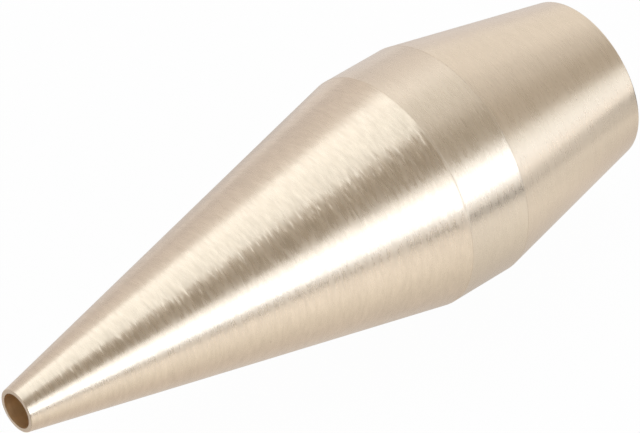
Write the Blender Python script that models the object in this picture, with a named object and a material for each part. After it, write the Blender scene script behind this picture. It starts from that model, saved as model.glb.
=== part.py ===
"""Oil burner nozzle with a long nose cone, as turned pieces on one axis.

The nozzle lies level, as a burner holds it. The origin is the centre of the rear face,
and the tip points along -Y. Each piece is turned about its own Z axis, and the parent
empty lays the whole nozzle down.

A nose cone carries a threaded shank at its back. The collar band slides over the shank,
and the shank screws into the tail sleeve behind the band. The strainer and its washer are
clamped between the shank's end and a ledge in the tail. In the nose, a hollow screw
presses the swirl distributor onto the orifice insert.

All sizes are in metres.
"""
import math

import bmesh
import bpy

# Outside of the nozzle
NOSE_LENGTH = 0.0267
BAND_LENGTH = 0.0042
TAIL_LENGTH = 0.0106
BAND_DIAMETER = 0.0143
REAR_DIAMETER = 0.0099
TIP_DIAMETER = 0.0026
LIP_WALL = 0.00024
REAR_ROUNDING = 0.0001

# Screwed joint between the shank and the tail
THREAD_DIAMETER = 0.0080
THREAD_PITCH = 0.0010
THREAD_DEPTH = 0.00045
THREAD_CLEARANCE = 0.0002
THREAD_RUNOUT = 0.0007
PILOT_LENGTH = 0.0008
FRONT_RELIEF = 0.0010
SHANK_BORE = 0.0056

# Inlet, strainer and washer
INLET_DIAMETER = 0.0052
INLET_DEPTH = 0.0020
STRAINER_DIAMETER = 0.0046
STRAINER_LENGTH = 0.0085
STRAINER_WALL = 0.0007
STRAINER_FLANGE = 0.0008
WASHER_THICKNESS = 0.0005

# Orifice insert behind the mouth
MOUTH_DEPTH = 0.0013
INSERT_SEAT_DEPTH = 0.0060
INSERT_HEAD_DIAMETER = 0.0035
INSERT_HEAD_LENGTH = 0.0020
INSERT_WALL = 0.0003
ORIFICE_DIAMETER = 0.0005
ORIFICE_LENGTH = 0.0003
ORIFICE_FLARE = 0.00015

# Swirl distributor
OIL_GAP = 0.0002
SWIRL_HEAD_LENGTH = 0.0012
SWIRL_SLOTS = 4
SWIRL_SLOT_DEPTH = 0.00016
SWIRL_TWIST = math.radians(60)
GUIDE_FLATS = 4
GUIDE_FLAT_DEPTH = 0.0004

# Lock screw
SCREW_SEAT_DEPTH = 0.0070
SCREW_LENGTH = 0.0040
SCREW_BORE = 0.0018
DRIVER_SLOT_WIDTH = 0.0009
DRIVER_SLOT_DEPTH = 0.0010
FEED_SLOT_WIDTH = 0.0008
FEED_SLOT_DEPTH = 0.0006
CROSS_TURNS = (0.0, math.pi / 2)

# Clearances
FIT_CLEARANCE = 0.00005
SEAT_CLEARANCE = 0.00002

# Fineness of the turned surfaces
SEGMENTS = 48
THREAD_ROWS_PER_TURN = 5
ROUNDING_STEPS = 4
DOME_STEPS = 5
SWIRL_ROWS = 6
SHARP_ANGLE = math.radians(25)

# Turn about X that lays the turning axis level, with the tip forward
LAY_DOWN = math.pi / 2

# Places along the turning axis, from the rear face
BAND_REAR = TAIL_LENGTH
SHOULDER = BAND_REAR + BAND_LENGTH
TIP = SHOULDER + NOSE_LENGTH
FLANGE_REAR = INLET_DEPTH + SEAT_CLEARANCE
WASHER_REAR = FLANGE_REAR + STRAINER_FLANGE + SEAT_CLEARANCE
SHANK_END = WASHER_REAR + WASHER_THICKNESS + SEAT_CLEARANCE
THREAD_START = SHANK_END + PILOT_LENGTH
THREAD_END = BAND_REAR - FRONT_RELIEF
SCREW_SEAT = SHOULDER + SCREW_SEAT_DEPTH
SCREW_REAR = SCREW_SEAT - SEAT_CLEARANCE - SCREW_LENGTH
INSERT_SEAT = TIP - INSERT_SEAT_DEPTH
INSERT_REAR = INSERT_SEAT - SEAT_CLEARANCE - INSERT_HEAD_LENGTH
INSERT_FRONT = TIP - MOUTH_DEPTH
DISTRIBUTOR_REAR = SCREW_SEAT + SEAT_CLEARANCE
DISTRIBUTOR_SHOULDER = INSERT_REAR - SEAT_CLEARANCE

# Radii that mating pieces share
BAND_RADIUS = BAND_DIAMETER / 2
THREAD_RADIUS = THREAD_DIAMETER / 2
THREAD_ROOT = THREAD_RADIUS - THREAD_DEPTH
BORE_RADIUS = SHANK_BORE / 2
MOUTH_RADIUS = TIP_DIAMETER / 2 - LIP_WALL
INSERT_HEAD_RADIUS = INSERT_HEAD_DIAMETER / 2
INSERT_STEM_RADIUS = MOUTH_RADIUS - FIT_CLEARANCE
INSERT_BORE_RADIUS = INSERT_STEM_RADIUS - INSERT_WALL
RELIEF_RADIUS = THREAD_RADIUS + THREAD_CLEARANCE
FLANGE_RADIUS = THREAD_ROOT


def clear_scene():
    for item in list(bpy.data.objects):
        bpy.data.objects.remove(item, do_unlink=True)


def metal(name, colour, roughness):
    """A plain metal of one colour."""
    material = bpy.data.materials.new(name)
    material.use_nodes = True
    shader = material.node_tree.nodes["Principled BSDF"]
    shader.inputs["Base Color"].default_value = (*colour, 1.0)
    shader.inputs["Metallic"].default_value = 1.0
    shader.inputs["Roughness"].default_value = roughness
    return material


def place_ring(form, radius, height):
    """One ring of vertices. The radius may be a function of the angle; zero gives a pole."""
    if radius == 0:
        return [form.verts.new((0, 0, height))]
    ring = []
    for step in range(SEGMENTS):
        angle = 2 * math.pi * step / SEGMENTS
        reach = radius(angle) if callable(radius) else radius
        ring.append(form.verts.new((reach * math.cos(angle), reach * math.sin(angle), height)))
    return ring


def join_rings(form, first, second):
    """A belt of faces between two rings, or a cap where one of them is a pole."""
    for step in range(SEGMENTS):
        ahead = (step + 1) % SEGMENTS
        corners = [
            first[step % len(first)],
            first[ahead % len(first)],
            second[ahead % len(second)],
            second[step % len(second)],
        ]
        form.faces.new(list(dict.fromkeys(corners)))


def turned(name, outline, seat, material, parent):
    """Turn an outline of (radius, height) points about Z into one solid at the height seat.

    The outline's heights are measured from the rear face. An outline that starts off the
    axis is closed back to its start, which leaves a bore through the piece.
    """
    form = bmesh.new()
    rings = [place_ring(form, radius, height - seat) for radius, height in outline]
    for first, second in zip(rings, rings[1:]):
        join_rings(form, first, second)
    if len(rings[0]) > 1:
        join_rings(form, rings[-1], rings[0])
    bmesh.ops.recalc_face_normals(form, faces=form.faces)
    mesh = bpy.data.meshes.new(name)
    form.to_mesh(mesh)
    form.free()
    mesh.shade_smooth()
    mesh.set_sharp_from_angle(angle=SHARP_ANGLE)
    mesh.materials.append(material)
    piece = bpy.data.objects.new(name, mesh)
    bpy.context.collection.objects.link(piece)
    piece.location = (0, 0, seat)
    piece.parent = parent
    return piece


def slot_cutter(name, length, width, depth, middle, turn):
    """A box across the axis that cuts a slot of the given width and depth into an end face."""
    form = bmesh.new()
    bmesh.ops.create_cube(form, size=1.0)
    bmesh.ops.scale(form, vec=(length, width, depth), verts=form.verts)
    mesh = bpy.data.meshes.new(name)
    form.to_mesh(mesh)
    form.free()
    cutter = bpy.data.objects.new(name, mesh)
    bpy.context.collection.objects.link(cutter)
    cutter.location = (0, 0, middle)
    cutter.rotation_euler = (0, 0, turn)
    cutter.hide_render = True
    cutter.display_type = "WIRE"
    return cutter


def cut_slot(piece, face, width, depth, turn):
    """Cut a slot right across an end face, by a box that stands half in and half out of it."""
    length = 2 * BAND_DIAMETER
    cutter = slot_cutter(piece.name + "_slot", length, width, 2 * depth, face, turn)
    cutter.parent = piece.parent
    cut = piece.modifiers.new("slot", "BOOLEAN")
    cut.operation = "DIFFERENCE"
    cut.solver = "EXACT"
    cut.object = cutter


def quarter_arc(radius_from, height_from, rounding):
    """A rounded outer corner, from the rear face round to the side of the tail."""
    taper = math.atan2(BAND_RADIUS - REAR_DIAMETER / 2, TAIL_LENGTH)
    sweep = math.pi / 2 - taper
    points = []
    for step in range(ROUNDING_STEPS + 1):
        angle = sweep * step / ROUNDING_STEPS
        radius = radius_from + rounding * math.sin(angle)
        points.append((radius, height_from + rounding * (1 - math.cos(angle))))
    return points


def thread_radius(start, end, height, extra):
    """Radius of the thread at a height, as a function of the angle.

    The thread is a right-hand wave cut below the outer diameter. It fades out towards
    both ends over the run-out length.
    """
    fade = min(height - start, end - height) / THREAD_RUNOUT
    depth = THREAD_DEPTH * max(0.0, min(1.0, fade))

    def radius(angle):
        phase = 2 * math.pi * height / THREAD_PITCH - angle
        return THREAD_RADIUS + extra - depth * (1 + math.cos(phase)) / 2

    return radius


def thread_rows(start, end, low, high, extra):
    """Outline points up a thread that runs from start to end, between the heights low and high."""
    count = math.ceil((high - low) / THREAD_PITCH * THREAD_ROWS_PER_TURN)
    rows = []
    for step in range(count + 1):
        height = low + (high - low) * step / count
        rows.append((thread_radius(start, end, height, extra), height))
    return rows


def nose_cone(material, parent):
    """Cone, shoulder and threaded shank, bored from behind for the insert, rod and screw."""
    pilot_radius = THREAD_ROOT - THREAD_CLEARANCE
    insert_bore = INSERT_HEAD_RADIUS + FIT_CLEARANCE
    full_thread_from = THREAD_START - THREAD_RUNOUT
    outline = [(BORE_RADIUS, SHANK_END), (pilot_radius, SHANK_END), (pilot_radius, THREAD_START)]
    outline += thread_rows(full_thread_from, THREAD_END, THREAD_START, THREAD_END, 0.0)
    outline += [
        (THREAD_RADIUS, SHOULDER),
        (BAND_RADIUS, SHOULDER),
        (TIP_DIAMETER / 2, TIP),
        (MOUTH_RADIUS, TIP),
        (MOUTH_RADIUS, INSERT_SEAT),
        (insert_bore, INSERT_SEAT),
        (insert_bore, SCREW_SEAT),
        (BORE_RADIUS, SCREW_SEAT),
    ]
    return turned("nose_cone", outline, SHOULDER, material, parent)


def collar_band(material, parent):
    """Parallel ring on the shank, held between the nose's shoulder and the tail."""
    bore = THREAD_RADIUS + FIT_CLEARANCE
    rear = BAND_REAR + SEAT_CLEARANCE
    front = SHOULDER - SEAT_CLEARANCE
    outline = [(bore, rear), (BAND_RADIUS, rear), (BAND_RADIUS, front), (bore, front)]
    return turned("collar_band", outline, BAND_REAR, material, parent)


def tail_sleeve(material, parent):
    """Tapered tail with a threaded bore, a ledge for the strainer and the inlet hole."""
    pocket = FLANGE_RADIUS + FIT_CLEARANCE
    pocket_top = FLANGE_REAR + STRAINER_FLANGE
    inlet = INLET_DIAMETER / 2
    thread_low = THREAD_START
    thread_high = THREAD_END - THREAD_RUNOUT
    rows = thread_rows(thread_low, thread_high, thread_low, thread_high, THREAD_CLEARANCE)
    outline = [(inlet, 0.0)]
    outline += quarter_arc(REAR_DIAMETER / 2 - REAR_ROUNDING, 0.0, REAR_ROUNDING)
    outline += [(BAND_RADIUS, TAIL_LENGTH), (RELIEF_RADIUS, TAIL_LENGTH)]
    outline += reversed(rows)
    outline += [
        (RELIEF_RADIUS, pocket_top),
        (pocket, pocket_top),
        (pocket, INLET_DEPTH),
        (inlet, INLET_DEPTH),
    ]
    return turned("tail_sleeve", outline, 0.0, material, parent)


def strainer(material, parent):
    """Porous thimble with a domed front end, open to the inlet behind its flange."""
    outer = STRAINER_DIAMETER / 2
    inner = outer - STRAINER_WALL
    flange_front = FLANGE_REAR + STRAINER_FLANGE
    dome_base = FLANGE_REAR + STRAINER_LENGTH - outer
    outline = [(inner, FLANGE_REAR), (FLANGE_RADIUS, FLANGE_REAR), (FLANGE_RADIUS, flange_front)]
    outline += [(outer, flange_front)]
    inside = []
    for step in range(DOME_STEPS + 1):
        angle = math.pi / 2 * step / DOME_STEPS
        across = math.cos(angle) if step < DOME_STEPS else 0
        outline.append((outer * across, dome_base + outer * math.sin(angle)))
        inside.append((inner * across, dome_base + inner * math.sin(angle)))
    whole = list(reversed(outline)) + inside
    return turned("strainer", whole, FLANGE_REAR, material, parent)


def seal_washer(material, parent):
    """Soft washer that the shank's end presses onto the strainer's flange."""
    outer = THREAD_ROOT - THREAD_CLEARANCE
    top = WASHER_REAR + WASHER_THICKNESS
    outline = [(BORE_RADIUS, WASHER_REAR), (outer, WASHER_REAR), (outer, top), (BORE_RADIUS, top)]
    return turned("seal_washer", outline, WASHER_REAR, material, parent)


def orifice_insert(material, parent):
    """Stepped plug whose stem ends behind the mouth in the fine metering hole.

    Cross slots in its rear face let the oil in from the flats of the distributor.
    """
    head_front = INSERT_SEAT - SEAT_CLEARANCE
    hole = ORIFICE_DIAMETER / 2
    hole_front = INSERT_FRONT - ORIFICE_FLARE
    hole_rear = hole_front - ORIFICE_LENGTH
    outline = [
        (INSERT_BORE_RADIUS, INSERT_REAR),
        (INSERT_HEAD_RADIUS, INSERT_REAR),
        (INSERT_HEAD_RADIUS, head_front),
        (INSERT_STEM_RADIUS, head_front),
        (INSERT_STEM_RADIUS, INSERT_FRONT),
        (hole + ORIFICE_FLARE, INSERT_FRONT),
        (hole, hole_front),
        (hole, hole_rear),
        (INSERT_BORE_RADIUS, hole_rear - (INSERT_BORE_RADIUS - hole)),
    ]
    piece = turned("orifice_insert", outline, INSERT_REAR, material, parent)
    for turn in CROSS_TURNS:
        cut_slot(piece, INSERT_REAR, FEED_SLOT_WIDTH, FEED_SLOT_DEPTH, turn)
    return piece


def swirl_radius(outer, low, height):
    """Radius of the slotted swirl head at a height: slots that turn as they climb."""
    turned_by = SWIRL_TWIST * (height - low) / SWIRL_HEAD_LENGTH

    def radius(angle):
        wave = math.cos(SWIRL_SLOTS * (angle - turned_by))
        return outer - SWIRL_SLOT_DEPTH * max(0.0, wave)

    return radius


def guide_radius(angle):
    """Radius of the guide body: a circle with flats along it that let the oil pass."""
    pitch = 2 * math.pi / GUIDE_FLATS
    from_middle = (angle + pitch / 2) % pitch - pitch / 2
    flat = INSERT_HEAD_RADIUS - GUIDE_FLAT_DEPTH
    return min(INSERT_HEAD_RADIUS, flat / math.cos(from_middle))


def swirl_distributor(material, parent):
    """Guide body with flats, slim stem in the insert, and a slotted head behind the hole."""
    stem = INSERT_BORE_RADIUS - OIL_GAP
    head = INSERT_BORE_RADIUS - FIT_CLEARANCE
    hole_rear = INSERT_FRONT - ORIFICE_FLARE - ORIFICE_LENGTH
    cone_rear = hole_rear - (INSERT_BORE_RADIUS - ORIFICE_DIAMETER / 2)
    head_front = cone_rear - FIT_CLEARANCE
    head_rear = head_front - SWIRL_HEAD_LENGTH
    outline = [
        (0, DISTRIBUTOR_REAR),
        (guide_radius, DISTRIBUTOR_REAR),
        (guide_radius, DISTRIBUTOR_SHOULDER),
        (stem, DISTRIBUTOR_SHOULDER),
        (stem, head_rear),
    ]
    for step in range(SWIRL_ROWS + 1):
        height = head_rear + SWIRL_HEAD_LENGTH * step / SWIRL_ROWS
        outline.append((swirl_radius(head, head_rear, height), height))
    outline.append((0, head_front + (stem - ORIFICE_DIAMETER / 2)))
    return turned("swirl_distributor", outline, DISTRIBUTOR_REAR, material, parent)


def lock_screw(material, parent):
    """Hollow screw with a driver slot behind and cross slots in front that feed the flats."""
    outer = BORE_RADIUS - FIT_CLEARANCE
    bore = SCREW_BORE / 2
    front = SCREW_REAR + SCREW_LENGTH
    outline = [(bore, SCREW_REAR), (outer, SCREW_REAR), (outer, front), (bore, front)]
    piece = turned("lock_screw", outline, SCREW_REAR, material, parent)
    cut_slot(piece, SCREW_REAR, DRIVER_SLOT_WIDTH, DRIVER_SLOT_DEPTH, 0.0)
    for turn in CROSS_TURNS:
        cut_slot(piece, front, FEED_SLOT_WIDTH, FEED_SLOT_DEPTH, turn)
    return piece


def main():
    clear_scene()
    nozzle = bpy.data.objects.new("nozzle", None)
    bpy.context.collection.objects.link(nozzle)
    nozzle.rotation_euler = (LAY_DOWN, 0, 0)
    nose_cone(metal("turned_nose", (0.80, 0.69, 0.53), 0.35), nozzle)
    collar_band(metal("turned_band", (0.79, 0.68, 0.52), 0.33), nozzle)
    tail_sleeve(metal("turned_tail", (0.78, 0.67, 0.52), 0.30), nozzle)
    strainer(metal("sintered_bronze", (0.47, 0.30, 0.16), 0.75), nozzle)
    seal_washer(metal("soft_copper", (0.72, 0.38, 0.24), 0.40), nozzle)
    orifice_insert(metal("stainless_steel", (0.62, 0.61, 0.58), 0.25), nozzle)
    swirl_distributor(metal("plain_brass", (0.72, 0.55, 0.28), 0.35), nozzle)
    lock_screw(metal("screw_brass", (0.70, 0.53, 0.27), 0.40), nozzle)


main()
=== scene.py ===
"""Looks of a turned nozzle: fine lathe surfaces, turned metal finishes and a small studio.

The nozzle lies level along Y, with the tip at -Y and the rear face at Y = 0. Places along
it are measured from the rear face towards the tip, so a place s lies at Y = -s. Lengths
are in metres unless a comment says otherwise, and colours are linear.
"""

import math
from typing import NamedTuple

import bpy
import numpy as np
from mathutils import Matrix, Vector


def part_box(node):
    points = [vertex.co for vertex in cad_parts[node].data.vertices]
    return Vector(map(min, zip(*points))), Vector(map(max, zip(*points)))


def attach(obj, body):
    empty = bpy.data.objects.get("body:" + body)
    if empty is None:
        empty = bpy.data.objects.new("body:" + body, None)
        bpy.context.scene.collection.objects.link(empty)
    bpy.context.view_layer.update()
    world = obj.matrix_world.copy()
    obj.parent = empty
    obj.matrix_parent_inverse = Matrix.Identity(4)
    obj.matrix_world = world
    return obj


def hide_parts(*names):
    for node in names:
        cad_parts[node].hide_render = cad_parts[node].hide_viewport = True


bl_info = {
    "name": "Turned Nozzle Looks",
    "version": (1, 0, 0),
    "blender": (4, 5, 0),
    "location": "View3D > Sidebar > Nozzle",
    "description": "Gives the packed nozzle fine turned surfaces, metal finishes and a studio",
    "category": "Object",
}

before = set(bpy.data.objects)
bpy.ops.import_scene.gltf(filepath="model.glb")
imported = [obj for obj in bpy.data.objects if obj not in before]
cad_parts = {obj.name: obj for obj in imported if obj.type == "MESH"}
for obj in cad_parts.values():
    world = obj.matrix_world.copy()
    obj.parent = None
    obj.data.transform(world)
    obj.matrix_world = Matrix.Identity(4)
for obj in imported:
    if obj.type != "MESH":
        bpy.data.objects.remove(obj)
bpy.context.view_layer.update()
NOSE_LOW, NOSE_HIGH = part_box("nose_cone")
BAND_LOW, BAND_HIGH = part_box("collar_band")

UV_NAME = "turned"
MILLIMETRE = 0.001
DEGREE = math.radians(1)
WHITE = (1.0, 1.0, 1.0, 1.0)
AXIS = (0.0, 1.0, 0.0)
OFF_AXIS = (1.0, 0.0, 1.0)

# Lengths and clearances inside the nozzle
SEAT_GAP = 0.00002
THREAD_RUNOUT = 0.0007
PILOT_LENGTH = 0.0008
FRONT_RELIEF = 0.0010
STRAINER_FLANGE = 0.0008

# Fine lines in front of the band and behind it, with a rougher edge beside each
FRONT_LINE_GAP = 0.000005
REAR_LINE_GAP = 0.000006
EDGE_WIDTH = 0.00013
FRONT_EDGE_ROUGHNESS = 0.17
REAR_EDGE_ROUGHNESS = 0.10

# Fineness of the turned surfaces
CORNER_STEPS = 6
GUARD_SHARE = 0.5
LONGEST_ROW = 0.0016
LONGEST_BAND_ROW = 0.0012
ROWS_PER_PITCH = 20
SAME_RADIUS = 1e-7
MOUTH_MARGIN = 1e-6
SHARP_ANGLE = 35 * DEGREE

# Flat-topped wave of the thread: its middle and its swing, before it is held between 0 and 1
GROOVE_MIDDLE = 0.5
GROOVE_SWING = 0.8


# Finishes of the turned surfaces


class Turning(NamedTuple):
    """Finish of one turned surface.

    The tilts are shares of the normal's length. Pits is the strength of the painted shade in
    small pits, glint_tilt the extra tilt of the deeper marks on the upper right, and grain the
    change that broader marks make to the tone and, several times as strong, to the roughness.
    """

    roughness: float
    mark_width: float
    mark_length: float
    tilt_round: float
    tilt_along: float
    pits: float
    anisotropy: float = 0.0
    glint_tilt: float = 0.0
    grain: float = 0.0


NOSE_TURNING = Turning(
    roughness=0.28,
    mark_width=9.0e-5,
    mark_length=4.5e-4,
    tilt_round=0.010,
    tilt_along=0.018,
    pits=0.8,
    anisotropy=0.3,
    glint_tilt=0.105,
    grain=0.072,
)
BAND_TURNING = Turning(
    roughness=0.28,
    mark_width=7.0e-5,
    mark_length=2.8e-4,
    tilt_round=0.015,
    tilt_along=0.022,
    pits=0.8,
    anisotropy=0.3,
    glint_tilt=0.06,
    grain=0.035,
)
TAIL_TURNING = Turning(
    roughness=0.29,
    mark_width=7.0e-5,
    mark_length=3.0e-4,
    tilt_round=0.009,
    tilt_along=0.010,
    pits=0.6,
    anisotropy=0.3,
    grain=0.040,
)
MOUTH_TURNING = Turning(
    roughness=0.50, mark_width=9.0e-5, mark_length=1.2e-3, tilt_round=0.05, tilt_along=0.10, pits=0.5
)
INSERT_TURNING = Turning(
    roughness=0.25, mark_width=4.0e-5, mark_length=5.0e-4, tilt_round=0.03, tilt_along=0.05, pits=0.2
)
ROD_TURNING = Turning(
    roughness=0.33, mark_width=5.0e-5, mark_length=6.0e-4, tilt_round=0.04, tilt_along=0.08, pits=0.4
)
SCREW_TURNING = Turning(
    roughness=0.36, mark_width=6.0e-5, mark_length=6.0e-4, tilt_round=0.04, tilt_along=0.08, pits=0.4
)
WASHER_TURNING = Turning(
    roughness=0.42, mark_width=9.0e-5, mark_length=9.0e-4, tilt_round=0.03, tilt_along=0.04, pits=0.6
)


class Marks(NamedTuple):
    """One layer of tool marks: its size in shares of the finish's marks, its shift and its noise."""

    width: float
    length: float
    shift: tuple
    detail: float
    roughness: float


ROUND_MARKS = Marks(width=1.6, length=1.4, shift=(0.0, 0.0, 0.0), detail=2.0, roughness=0.6)
ALONG_MARKS = Marks(width=1.6, length=1.4, shift=(31.0, 17.0, 53.0), detail=2.0, roughness=0.6)
WORN_MARKS = Marks(width=2.0, length=2.0, shift=(11.0, 47.0, 5.0), detail=2.0, roughness=0.6)
RUBBED_MARKS = Marks(width=2.0, length=2.0, shift=(71.0, 3.0, 29.0), detail=2.0, roughness=0.6)
GLINT_MARKS = Marks(width=1.5, length=1.6, shift=(7.0, 91.0, 23.0), detail=1.0, roughness=0.5)
RINGS = Marks(width=6.0, length=12.0, shift=(0.0, 0.0, 0.0), detail=1.0, roughness=0.5)

# Spans of noise over which the marks take effect
TILT_SPAN = (0.25, 0.75)
MARK_SPAN = (0.3, 0.7)
GLINT_UP_SPAN = (0.56, 0.80)
GLINT_DOWN_SPAN = (0.20, 0.44)

# Strengths of the marks, as shares of the finish's own tilt, tone, roughness and grain
GLINT_DOWN_SHARE = 0.5
RING_TONES = (0.98, 1.015)
RING_ROUGHNESS = (0.95, 1.05)
RUBBED_SHARE = 2.5

# Sector on the upper right by the angle round the axis, and the depth of worn marks outside and in it
SECTOR_RISE = (46 * DEGREE, 56 * DEGREE)
SECTOR_FALL = (74 * DEGREE, 88 * DEGREE)
SECTOR_DEPTH = (0.65, 1.15)

# Faint blotches, painted shade in small pits, and the fused grains of the porous metal with painted
# shade in their gaps
BLOTCH_SCALE = 450.0
BLOTCH_DETAIL = 3.0
BLOTCH_ROUGHNESS = 0.55
BLOTCH_SPAN = (0.35, 0.7)
BLOTCH_MOST = 0.5
BLOTCH_TONE = 0.95
PIT_SCALE = 900.0
PIT_SPAN = (0.02, 0.05)
PIT_CHOICE = 0.90
PIT_SHADE_TONE = 0.45
GRAIN_SCALE = 12000.0
GRAIN_GAP_SPAN = (0.35, 0.75)
GRAIN_GAP_SHADE_TONE = 0.5
GRAIN_TONES = (0.8, 1.25)
GRAIN_BLOTCH_SCALE = 900.0
GRAIN_ROUGHNESS = (0.55, 0.9)
GRAIN_BUMP = 0.5
GRAIN_HEIGHT = 0.00003

# Floor under the nozzle
FLOOR_GAP = 0.00001
FLOOR_SIDE = 2.0
FLOOR_CELLS = 16
PAPER_TONES = (0.86, 0.88)
PAPER_GRAIN_SCALE = 60.0
PAPER_GRAIN_DETAIL = 3.0

# Painted shade and light that reflections see across the floor, darkest near the nozzle: X in
# millimetres, red, green and blue
ACROSS_SHADE_AND_LIGHT = (
    (-40, 0.80, 0.79, 0.81),
    (-26, 0.76, 0.74, 0.75),
    (-10, 0.71, 0.69, 0.685),
    (6, 0.72, 0.69, 0.665),
    (8.8, 0.80, 0.785, 0.755),
    (11.6, 0.885, 0.88, 0.85),
    (16, 0.98, 0.985, 0.97),
    (25, 1.06, 1.07, 1.07),
    (40, 1.08, 1.09, 1.10),
)

# Painted shade and light along the floor for reflections, with painted shade under the band: Y in
# millimetres and a grey
ALONG_SHADE_AND_LIGHT = (
    (-60, 0.82),
    (-47, 0.82),
    (-42, 1.02),
    (-20, 0.98),
    (-13, 0.88),
    (-9, 0.89),
    (-5, 0.97),
    (0, 1.10),
    (6, 0.98),
    (12, 1.04),
    (20, 1.08),
)

# Further painted shade and light along the floor for reflections, beyond the nozzle's right side, and
# where they fade in
BEYOND_SHADE_AND_LIGHT = (
    (-40, 1.0),
    (-27, 1.01),
    (-20, 1.05),
    (-13, 1.09),
    (-8, 1.0),
    (-3, 0.91),
    (6, 0.89),
    (10, 0.96),
    (15, 1.11),
    (21, 1.07),
    (40, 1.0),
)
BEYOND_SHADE_FADE = (0.009, 0.018)

# Painted dark line of shade on the floor in reflections, with painted light beyond it: a rounded
# rectangle, and greys by the distance in shares of it
SHADE_LINE_ACROSS = 0.072
SHADE_LINE_ALONG = 0.035
SHADE_LINE_CENTRE = -0.022
SHADE_LINE_POWER = 4.0
SHADE_LINE_TONES = (
    (0.0, 1.0),
    (0.45, 1.0),
    (0.65, 0.95),
    (0.95, 0.97),
    (1.02, 0.0),
    (2.0, 0.05),
    (2.5, 1.1),
    (3.2, 1.5),
)

# Strength of the painted dark line: the slant of its weak line, and fades of two places with the
# strengths there
SHADE_LINE_SLANT = 1.2
SHADE_LINE_FALL = (-0.018, -0.004, 0.95, 0.27)
SHADE_LINE_RISE = (-0.004, 0.025, 0.27, 1.0)
SHADE_LINE_TIP_FADE = (-0.034, -0.014, 0.75, 1.0)

# Tones of the room: degrees round the nozzle's axis from the right over the top, red, green and blue
ROOM_NEAR_TONES = (
    (0, 0.40, 0.40, 0.40),
    (9, 0.46, 0.45, 0.42),
    (42, 0.45, 0.42, 0.37),
    (64, 0.45, 0.42, 0.37),
    (84, 0.76, 0.75, 0.73),
    (106, 0.83, 0.83, 0.81),
    (124, 1.05, 1.06, 1.08),
    (154, 0.86, 0.84, 0.85),
    (180, 0.74, 0.72, 0.74),
)
ROOM_FAR_TONES = (
    (0, 0.32, 0.32, 0.32),
    (9, 0.54, 0.53, 0.50),
    (42, 0.54, 0.51, 0.46),
    (64, 0.54, 0.51, 0.46),
    (102, 0.76, 0.75, 0.73),
    (128, 0.97, 0.97, 0.96),
    (156, 0.97, 0.97, 0.95),
    (180, 1.05, 1.05, 1.04),
)

# Where the room turns from near to far, by the direction's Y, and its strength between two such values
ROOM_FAR_SPAN = (0.49, 0.70)
ROOM_STRENGTH = (0.10, 0.49, 0.84, 1.0)


# Light panels and camera


class LightPanel(NamedTuple):
    """A soft light panel; setting names the studio property that holds its brightness."""

    name: str
    setting: str
    place: tuple
    facing: tuple
    side: tuple
    width: float
    height: float
    tint: tuple


PANEL_SLOPE = 2 * DEGREE
TO_LEFT = (-1.0, 0.0, 0.0)
LOW_SIDE = (0.0, math.cos(PANEL_SLOPE), -math.sin(PANEL_SLOPE))
LIGHT_PANELS = (
    LightPanel(
        name="side_panel",
        setting="side_light",
        place=(0.40, 0.06, 0.1267),
        facing=TO_LEFT,
        side=LOW_SIDE,
        width=0.74,
        height=0.1857,
        tint=(0.70, 0.82, 1.0),
    ),
    LightPanel(
        name="side_top",
        setting="side_fade",
        place=(0.40, 0.015, 0.2781),
        facing=TO_LEFT,
        side=LOW_SIDE,
        width=0.65,
        height=0.114,
        tint=(0.75, 0.86, 1.0),
    ),
    LightPanel(
        name="end_panel",
        setting="end_light",
        place=(0.40, 0.618, 0.157),
        facing=TO_LEFT,
        side=LOW_SIDE,
        width=0.38,
        height=0.270,
        tint=(0.76, 0.88, 1.0),
    ),
    LightPanel(
        name="top_panel",
        setting="top_light",
        place=(-0.117, -0.095, 0.3825),
        facing=(0.2924, 0.0, -0.9563),
        side=(0.0, 1.0, 0.0),
        width=0.44,
        height=0.390,
        tint=(0.71, 0.86, 1.0),
    ),
)

IMAGE_WIDTH = 640
FOCAL_PIXELS = 5500.0
SENSOR_WIDTH = 36.0
CLIP_NEAR = 0.01
CLIP_FAR = 10.0
CAMERA_PLACE = (0.1705515, -0.1691005, 0.2058423)
CAMERA_RIGHT = (0.65864, 0.75245, 0.0)
CAMERA_BACK = (0.55850, -0.48887, 0.67014)


# Settings that a user would change


def length(name, default, description):
    """A size in metres for a property group."""
    return bpy.props.FloatProperty(
        name=name, description=description, default=default, min=0.0, precision=5, unit="LENGTH"
    )


def colour(name, default, description):
    """A linear colour for a property group."""
    return bpy.props.FloatVectorProperty(
        name=name, description=description, default=default, min=0.0, max=1.0, size=3, subtype="COLOR"
    )


def share(name, default, description):
    """A plain number from 0 to 1 for a property group."""
    return bpy.props.FloatProperty(
        name=name, description=description, default=default, min=0.0, max=1.0, subtype="FACTOR"
    )


def lamp_level(name, default, description):
    """A lamp's brightness for a property group, on a scale where 1 is white."""
    return bpy.props.FloatProperty(name=name, description=description, default=default, min=0.0)


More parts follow.
